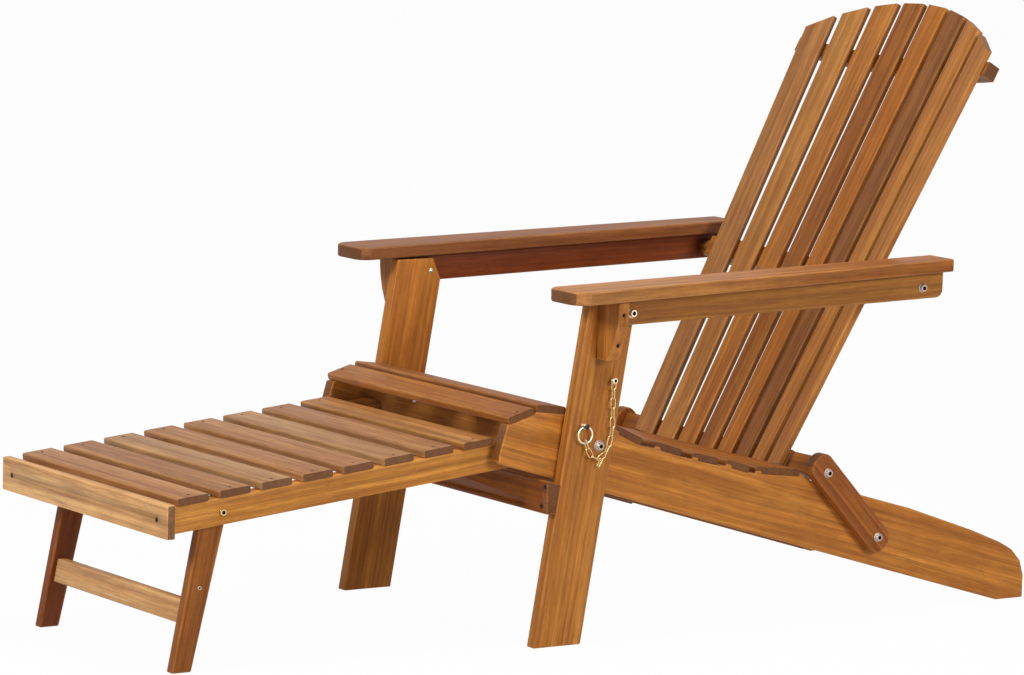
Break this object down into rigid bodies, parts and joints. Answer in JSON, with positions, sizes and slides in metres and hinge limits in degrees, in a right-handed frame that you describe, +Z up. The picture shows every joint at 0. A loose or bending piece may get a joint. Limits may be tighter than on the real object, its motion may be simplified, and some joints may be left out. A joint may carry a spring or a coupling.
{
  "type": "folding deck chair with pull-out footrest",
  "caption": "Wooden folding deck chair with a fanned slatted back, wide flat arms, a slatted seat and a pull-out slatted footrest on folding legs.",
  "frame": {"origin": "bottom centre of the bounding box, on the floor", "axes": "+Z up, +Y towards the back of the chair, +X to the sitter's left"},
  "size_m": [0.7118, 1.653, 0.9721],
  "materials": {
    "golden_wood": "oiled hardwood, golden brown, eased edges",
    "arm_wood": "oiled hardwood, pinkish brown",
    "slat_wood": "oiled hardwood slats of mixed brown and orange tones",
    "frame_wood": "oiled hardwood, reddish brown",
    "dark_wood": "oiled hardwood, darker brown",
    "brass": "plain brass, lightly worn",
    "zinc_steel": "zinc plated steel, lightly worn"
  },
  "bodies": {
    "seat_frame": {"link_foot_bolts": "zinc_steel", "ottoman_guide_cleat_left": "dark_wood", "ottoman_guide_cleat_right": "dark_wood", "seat_nosing_slat": "slat_wood", "seat_rear_wide_slat": "slat_wood", "seat_slat_2": "slat_wood", "seat_slat_3": "slat_wood", "seat_slat_4": "slat_wood", "seat_slat_5": "slat_wood", "seat_slat_6": "slat_wood", "seat_slat_7": "slat_wood", "side_rail_left": "golden_wood", "side_rail_right": "golden_wood"},
    "front_legs": {"arm_bracket_left": "frame_wood", "arm_bracket_right": "frame_wood", "front_leg_crossbar": "golden_wood", "front_leg_left": "golden_wood", "front_leg_pivot_bolts": "zinc_steel", "front_leg_right": "golden_wood", "front_leg_screws": "zinc_steel", "pin_chain_left": "brass", "pin_chain_right": "brass"},
    "arms": {"arm_board_left": "arm_wood", "arm_board_right": "arm_wood", "arm_front_bolts": "zinc_steel", "arm_rail_left": "frame_wood", "arm_rail_right": "frame_wood", "back_pivot_bosses": "dark_wood"},
    "links": {"back_link_left": "frame_wood", "back_link_right": "frame_wood", "link_top_bolts": "zinc_steel"},
    "backrest": {"back_lower_crossrail": "dark_wood", "back_middle_crossrail": "dark_wood", "back_slat_1": "slat_wood", "back_slat_2": "slat_wood", "back_slat_3": "slat_wood", "back_slat_4": "slat_wood", "back_slat_5": "slat_wood", "back_slat_6": "slat_wood", "back_slat_7": "slat_wood", "back_slat_8": "slat_wood", "back_top_crossrail": "dark_wood"},
    "ottoman_slider": {"ottoman_guide_dowel": "dark_wood"},
    "ottoman": {"ottoman_front_board": "frame_wood", "ottoman_hardware": "brass", "ottoman_rail_left": "frame_wood", "ottoman_rail_right": "frame_wood", "ottoman_slat_1": "slat_wood", "ottoman_slat_2": "slat_wood", "ottoman_slat_3": "slat_wood", "ottoman_slat_4": "slat_wood", "ottoman_slat_5": "slat_wood", "ottoman_slat_6": "slat_wood", "ottoman_slat_7": "slat_wood", "ottoman_slat_8": "slat_wood"},
    "ottoman_legs": {"ottoman_leg_crossbar": "frame_wood", "ottoman_leg_left": "frame_wood", "ottoman_leg_right": "frame_wood"},
    "left_lock_pin": {"lock_pin_left": "brass"},
    "right_lock_pin": {"lock_pin_right": "brass"}
  },
  "joints": [
    {"name": "chair_fold", "type": "hinge", "parent": "seat_frame", "child": "front_legs", "pos_m": [0, -0.065, 0.3134], "axis": [1, 0, 0], "range_deg": [0, 70]},
    {"name": "arm_fold", "type": "hinge", "parent": "front_legs", "child": "arms", "pos_m": [0, -0.025, 0.5235], "axis": [1, 0, 0], "range_deg": [-80.98, 0]},
    {"name": "link_swing", "type": "hinge", "parent": "seat_frame", "child": "links", "pos_m": [0, 0.4966, 0.1286], "axis": [1, 0, 0], "range_deg": [-105.9, 0]},
    {"name": "back_fold", "type": "hinge", "parent": "links", "child": "backrest", "pos_m": [0, 0.3895, 0.2411], "axis": [1, 0, 0], "range_deg": [0, 202.72]},
    {"name": "ottoman_slide", "type": "slide", "parent": "seat_frame", "child": "ottoman_slider", "axis": [0, 0.9605, -0.2782], "range_m": [0, 0.05]},
    {"name": "ottoman_lift", "type": "hinge", "parent": "ottoman_slider", "child": "ottoman", "pos_m": [0, -0.16397, 0.29904], "axis": [-1, 0, 0], "range_deg": [0, 17]},
    {"name": "ottoman_leg_fold", "type": "hinge", "parent": "ottoman", "child": "ottoman_legs", "pos_m": [0, -0.718, 0.2456], "axis": [1, 0, 0], "range_deg": [0, 107]},
    {"name": "left_pin_pull", "type": "slide", "parent": "front_legs", "child": "left_lock_pin", "axis": [1, 0, 0], "range_m": [-0.006, 0.04], "deforming": ["pin_chain_left"]},
    {"name": "right_pin_pull", "type": "slide", "parent": "front_legs", "child": "right_lock_pin", "axis": [-1, 0, 0], "range_m": [-0.006, 0.04], "deforming": ["pin_chain_right"]}
  ],
  "couplings": [
    {"joint": "arm_fold", "follows": "chair_fold", "ratio": -1.1566},
    {"joint": "link_swing", "follows": "chair_fold", "ratio": -1.5126},
    {"joint": "back_fold", "follows": "chair_fold", "ratio": 2.8957}
  ]
}
